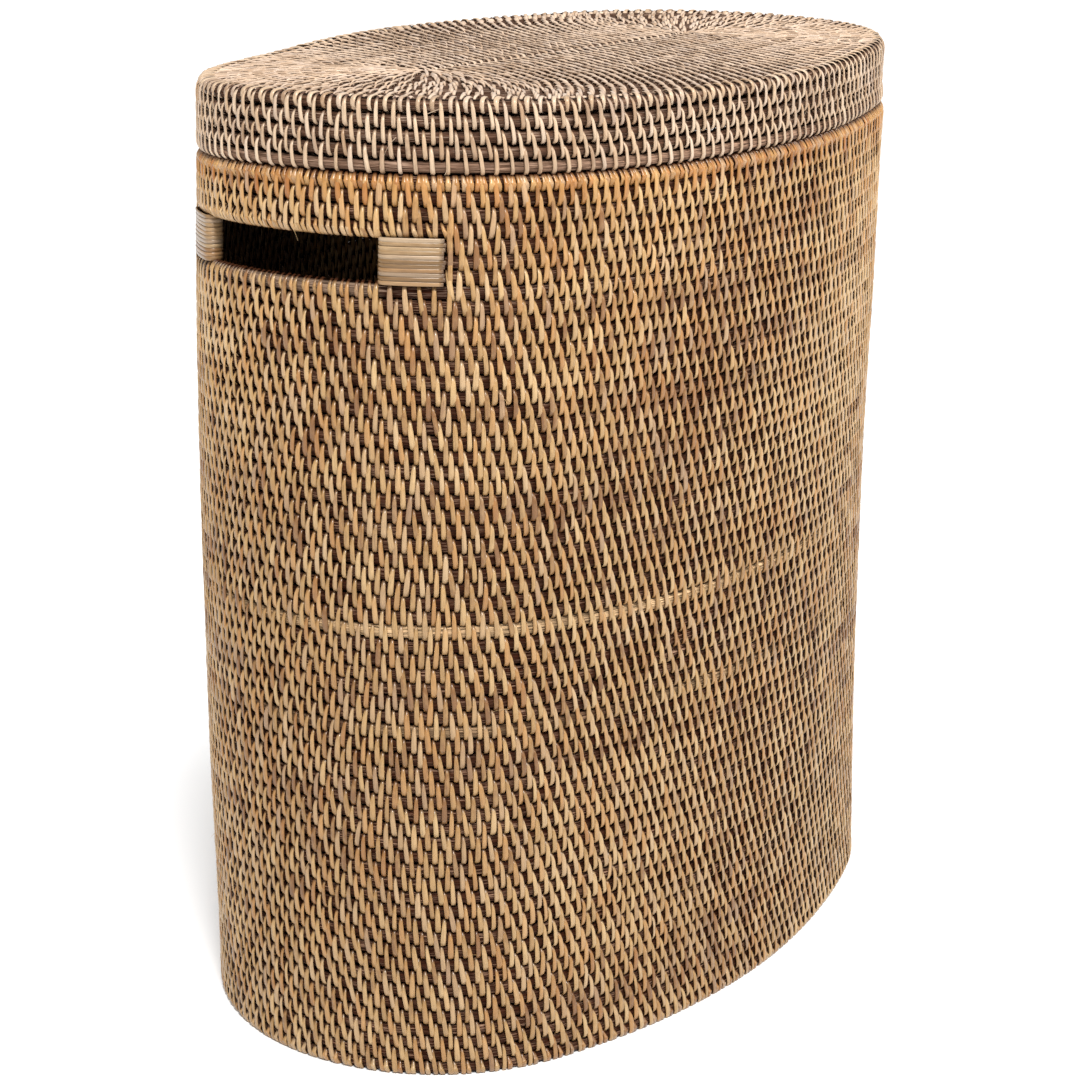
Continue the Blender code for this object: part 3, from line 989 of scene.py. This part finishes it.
def build_panel(prefix, z, body, materials, seed, groups):
    """The coils of the lid's top or of the floor. The innermost has no splints of its own."""
    panel = Panel(z, 1.0 if body == "lid" else 0.0)
    for name, rings, slot in groups:
        weave = Weave()
        for ring in rings:
            line, _ = panel(ring, np.linspace(0, 4, 200, endpoint=False))
            around = np.linalg.norm(line - np.roll(line, 1, axis=0), axis=-1).sum()
            steps = max(40, int(around / PANEL_STEP))
            lay_cane(weave, panel, ring, seed + ring, steps=steps, size=PANEL_CANE)
            if ring == PANEL_RINGS - 1:
                continue
            u = panel.places(ring)
            rng = np.random.default_rng(seed + 50 + ring)
            on_end = np.cos(0.5 * math.pi * u) ** 2
            sew(
                weave,
                panel,
                ring,
                u,
                seed + 80 + ring,
                lean=27.0 * on_end - 22.0,
                size=PANEL_CANE,
                width=0.78 - 0.17 * on_end,
                tone=tones(rng, u, 40 * z + ring * 0.01),
                ride=0.50,
            )
            if ring == 0:
                between = u + (np.roll(u, -1) - u) % 4 / 2
                sew(weave, panel, ring, between, seed + 79, span=0.0, lean=0.0, size=PANEL_CANE, ride=0.1)
        finish_piece(weave.build(f"{prefix}_{name}_woven", materials), body, slot, f"{prefix}_{name}")


def half_bare(u):
    """How bare the lid's lowest course is, along its length."""
    return 0.55 + 0.2 * np.sin(5 * u)


def build_lid():
    names = ("lid_edge_course", "lid_course_4", "lid_course_3", "lid_course_2", "lid_course_1")
    size = (CANE_OUT, LID_PITCH / 2 - LID_CANE_GAP)
    for row, name in enumerate(names):
        weave = Weave()
        lowest = row == LID_COURSES - 1
        lay_cane(weave, lid_course, row, 300 + row, size=size, bare=half_bare if lowest else None)
        if not lowest:
            rng = np.random.default_rng(330 + row)
            u = places(LID_STITCHES, LID_PHASE + LID_SHIFT * row, row)
            z = HEIGHT - (row + 1) * LID_PITCH
            lean = LID_LEAN + LID_LEAN_WANDER * lean_ripple(u, z)
            looks = {"lean": lean, "width": LID_STITCH_WIDTH, "tone": tones(rng, u, z)}
            sew(weave, lid_course, row, u, 340 + row, size=size, **looks)
        if row == 0:
            extra = places(LID_STITCHES, LID_PHASE - 0.46, row)
            looks = {"lean": 4.0, "width": 0.9, "loop": EDGE_LOOP}
            sew(weave, edge_course, 0, extra, 339, size=(CANE_OUT, CANE_OUT), **looks)
        fray(weave, lid_course, row, row + 0.6, 630 + row, 3)
        slot = ("lid_cane_dark", "lid_cane")[row % 2]
        finish_piece(weave.build(f"{name}_woven", (lid_cane, lid_splint)), "lid", slot, name)


def build_locating_ring():
    name = "lid_locating_ring"
    weave = Weave()
    for row in range(LOCATOR_COURSES):
        lay_cane(weave, locator_course, row, 360 + row, size=LOCATOR_CANE)
        u = places(LID_STITCHES, 0.5 + SHIFT * row, row)
        span = 0.0 if row == LOCATOR_COURSES - 1 else 1.0
        sew(weave, locator_course, row, u, 370 + row, span=span, lean=8.0, size=LOCATOR_LOOP, ride=0.1)
    finish_piece(weave.build(f"{name}_woven", (lid_cane, lid_splint)), "lid", "lid_cane_dark", name)


def build_stage():
    bpy.ops.mesh.primitive_grid_add(x_subdivisions=4, y_subdivisions=4, size=60)
    floor = bpy.context.object
    floor.name = "studio_floor"
    material, tree, shader = new_material("studio_floor")
    place = node(tree, "ShaderNodeTexCoord").outputs["Object"]
    speck = noise(tree, place, 3.0, 2.0)
    colour = ramp(tree, speck, ((0.3, (0.92, 0.92, 0.92)), (0.7, (0.94, 0.94, 0.94))))
    tree.links.new(colour, shader.inputs["Base Color"])
    shader.inputs["Roughness"].default_value = 0.9
    shader.inputs["Specular IOR Level"].default_value = 0.1
    floor.data.materials.append(material)


def area_light(name, place, target, size, power, colour=(1.0, 1.0, 1.0)):
    light = bpy.data.lights.new(name, "AREA")
    light.shape = "RECTANGLE"
    light.size, light.size_y = size
    light.energy = power
    light.color = colour
    lamp = bpy.data.objects.new(name, light)
    bpy.context.scene.collection.objects.link(lamp)
    lamp.location = place
    lamp.rotation_euler = (Vector(target) - Vector(place)).to_track_quat("-Z", "Y").to_euler()


def direction(azimuth, elevation):
    """The way towards a light or the camera, from angles in degrees; azimuth 0 looks along +Y."""
    azimuth, elevation = math.radians(azimuth), math.radians(elevation)
    level = math.cos(elevation)
    return Vector((math.sin(azimuth) * level, -math.cos(azimuth) * level, math.sin(elevation)))


def build_light():
    scene = bpy.context.scene
    world = bpy.data.worlds.new("studio")
    world.use_nodes = True
    background = world.node_tree.nodes["Background"]
    background.inputs["Color"].default_value = (1.0, 1.0, 1.0, 1.0)
    background.inputs["Strength"].default_value = WORLD_STRENGTH
    scene.world = world
    scene.view_settings.view_transform = "Standard"
    key = bpy.data.lights.new("key", "SUN")
    key.energy = SUN_STRENGTH
    key.angle = math.radians(SUN_ANGLE)
    lamp = bpy.data.objects.new("key", key)
    scene.collection.objects.link(lamp)
    lamp.rotation_euler = direction(SUN_AZIMUTH, SUN_ELEVATION).to_track_quat("Z", "Y").to_euler()
    area_light("front_left", (-2.6, -1.0, 1.5), (0.0, 0.0, 0.35), (1.0, 1.0), 3)
    area_light("front_right", (0.9, -2.5, 2.0), (0.0, 0.0, 0.45), (0.8, 0.8), 27)


def build_camera():
    back = direction(CAMERA_AZIMUTH, CAMERA_ELEVATION)
    right = Vector((0, 0, 1)).cross(back).normalized()
    up = back.cross(right)
    roll = math.radians(CAMERA_ROLL)
    right, up = right * math.cos(roll) + up * math.sin(roll), up * math.cos(roll) - right * math.sin(roll)
    camera = bpy.data.cameras.new("camera")
    camera.lens = CAMERA_LENS
    camera.sensor_width = 36
    camera.clip_end = 200
    holder = bpy.data.objects.new("camera", camera)
    bpy.context.scene.collection.objects.link(holder)
    turn = Matrix((right, up, back)).transposed().to_4x4()
    turn.translation = Vector(CAMERA_TARGET) + back * CAMERA_DISTANCE
    holder.matrix_world = turn
    bpy.context.scene.camera = holder


build_camera()
build_light()
build_stage()
build_body()
for binding, middle, way, number in (
    ("left_front_binding", 2.0, 1, 401),
    ("left_back_binding", 2.0, -1, 402),
    ("right_back_binding", 0.0, 1, 403),
    ("right_front_binding", 4.0, -1, 404),
):
    build_binding(binding, middle, way, number)
build_lid()
build_locating_ring()
PANEL_GROUPS = (
    ("coils_2", range(0, 6), 0),
    ("coils_1", range(6, 12), 1),
    ("heart", range(12, PANEL_RINGS), 0),
)
build_panel(
    "lid_top",
    HEIGHT - PANEL_DEPTH,
    "lid",
    (lid_cane, pale_top_splint_painted_light),
    500,
    [(n, r, ("lid_cane", "lid_cane_dark")[s]) for n, r, s in PANEL_GROUPS],
)
build_panel(
    "floor",
    PITCH + PITCH / 2,
    "basket",
    (body_cane, body_splint),
    700,
    [(n, r, ("cane", "cane_dark")[s]) for n, r, s in PANEL_GROUPS],
)
